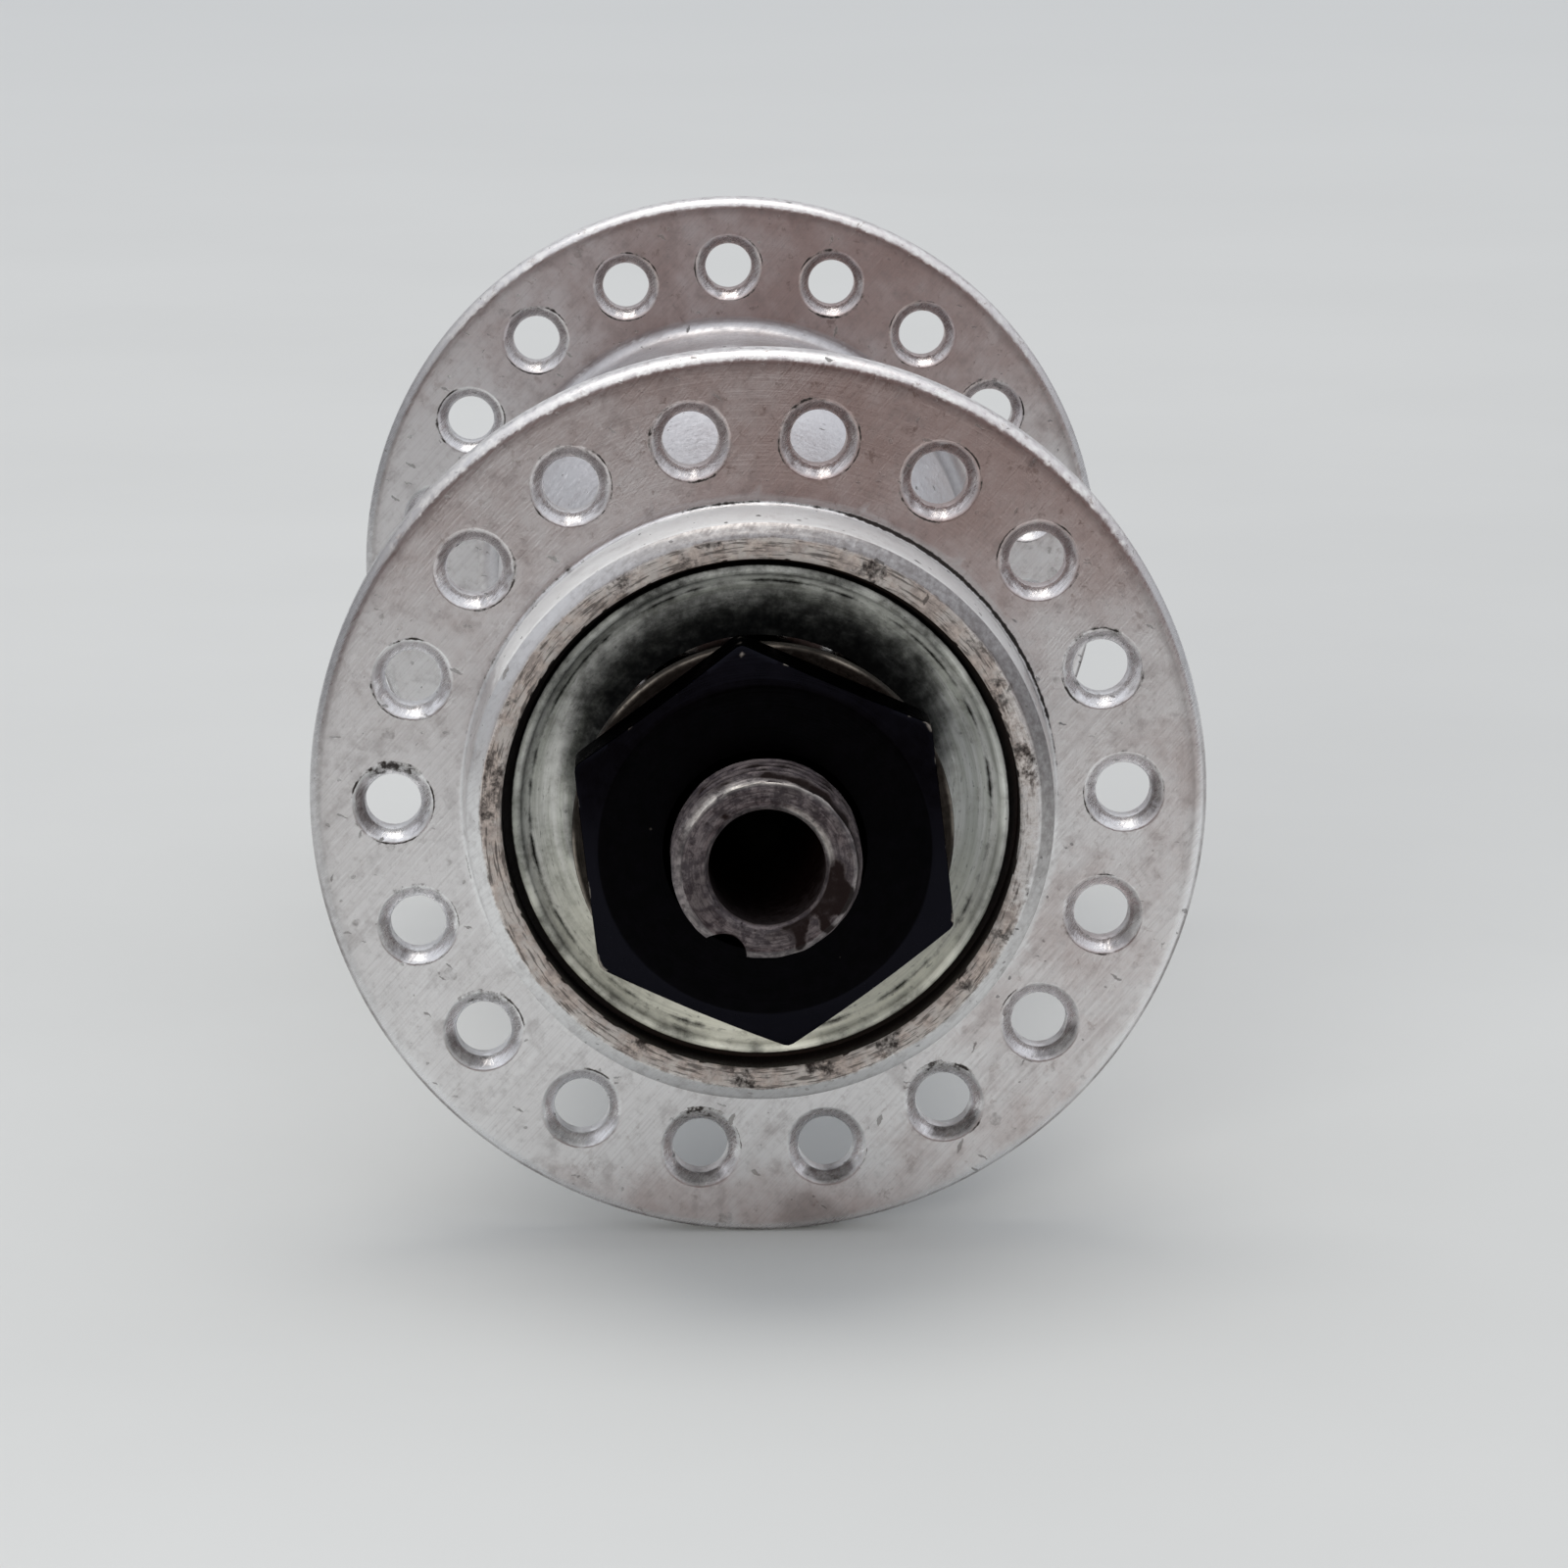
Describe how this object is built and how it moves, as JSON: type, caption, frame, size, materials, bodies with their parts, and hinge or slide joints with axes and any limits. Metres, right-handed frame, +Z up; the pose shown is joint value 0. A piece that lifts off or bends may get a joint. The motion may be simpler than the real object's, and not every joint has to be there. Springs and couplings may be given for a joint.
{
  "type": "bicycle front hub",
  "caption": "Bicycle front hub: drilled, flanged aluminium shell spinning on loose-ball cup-and-cone bearings round a hollow threaded axle with black locknuts.",
  "frame": {"origin": "on the axle's line, midway between the two locknut faces, which is the centre of the bounding box", "axes": "+Y along the axle towards the right end, the far one in the picture; +Z up as the hub stands in the picture; +X to the right as seen from the left end"},
  "size_m": [0.0442, 0.108, 0.0442],
  "materials": {
    "turned_aluminium": "satin, tarnished and finely scratched",
    "axle_steel": "worn, dirty thread",
    "bearing_steel": "ground, oiled",
    "zinc_plated_steel": "dull zinc plate with dark specks",
    "washer_steel": "grimy",
    "black_oxide_steel": "black oxide, satin",
    "ball_steel": "polished"
  },
  "bodies": {
    "axle_set": {"axle": "axle_steel", "left_cone": "bearing_steel", "left_washer": "washer_steel", "left_locknut": "black_oxide_steel", "right_cone": "bearing_steel", "right_washer": "washer_steel", "right_locknut": "black_oxide_steel"},
    "shell": {"hub_shell": "turned_aluminium", "left_cup": "bearing_steel", "left_dust_cap": "zinc_plated_steel", "right_cup": "bearing_steel", "right_dust_cap": "zinc_plated_steel"},
    "left_balls": {"left_ball_01": "ball_steel", "left_ball_02": "ball_steel", "left_ball_03": "ball_steel", "left_ball_04": "ball_steel", "left_ball_05": "ball_steel", "left_ball_06": "ball_steel", "left_ball_07": "ball_steel", "left_ball_08": "ball_steel", "left_ball_09": "ball_steel", "left_ball_10": "ball_steel"},
    "right_balls": {"right_ball_01": "ball_steel", "right_ball_02": "ball_steel", "right_ball_03": "ball_steel", "right_ball_04": "ball_steel", "right_ball_05": "ball_steel", "right_ball_06": "ball_steel", "right_ball_07": "ball_steel", "right_ball_08": "ball_steel", "right_ball_09": "ball_steel", "right_ball_10": "ball_steel"}
  },
  "joints": [
    {"name": "shell_spin", "type": "hinge", "parent": "axle_set", "child": "shell", "pos_m": [0, 0, 0], "axis": [0, 1, 0], "continuous": true},
    {"name": "left_balls_orbit", "type": "hinge", "parent": "axle_set", "child": "left_balls", "pos_m": [0, -0.0346, 0], "axis": [0, 1, 0], "continuous": true},
    {"name": "right_balls_orbit", "type": "hinge", "parent": "axle_set", "child": "right_balls", "pos_m": [0, 0.0346, 0], "axis": [0, 1, 0], "continuous": true}
  ],
  "couplings": [
    {"joint": "left_balls_orbit", "follows": "shell_spin", "ratio": 0.6014},
    {"joint": "right_balls_orbit", "follows": "shell_spin", "ratio": 0.6014}
  ]
}
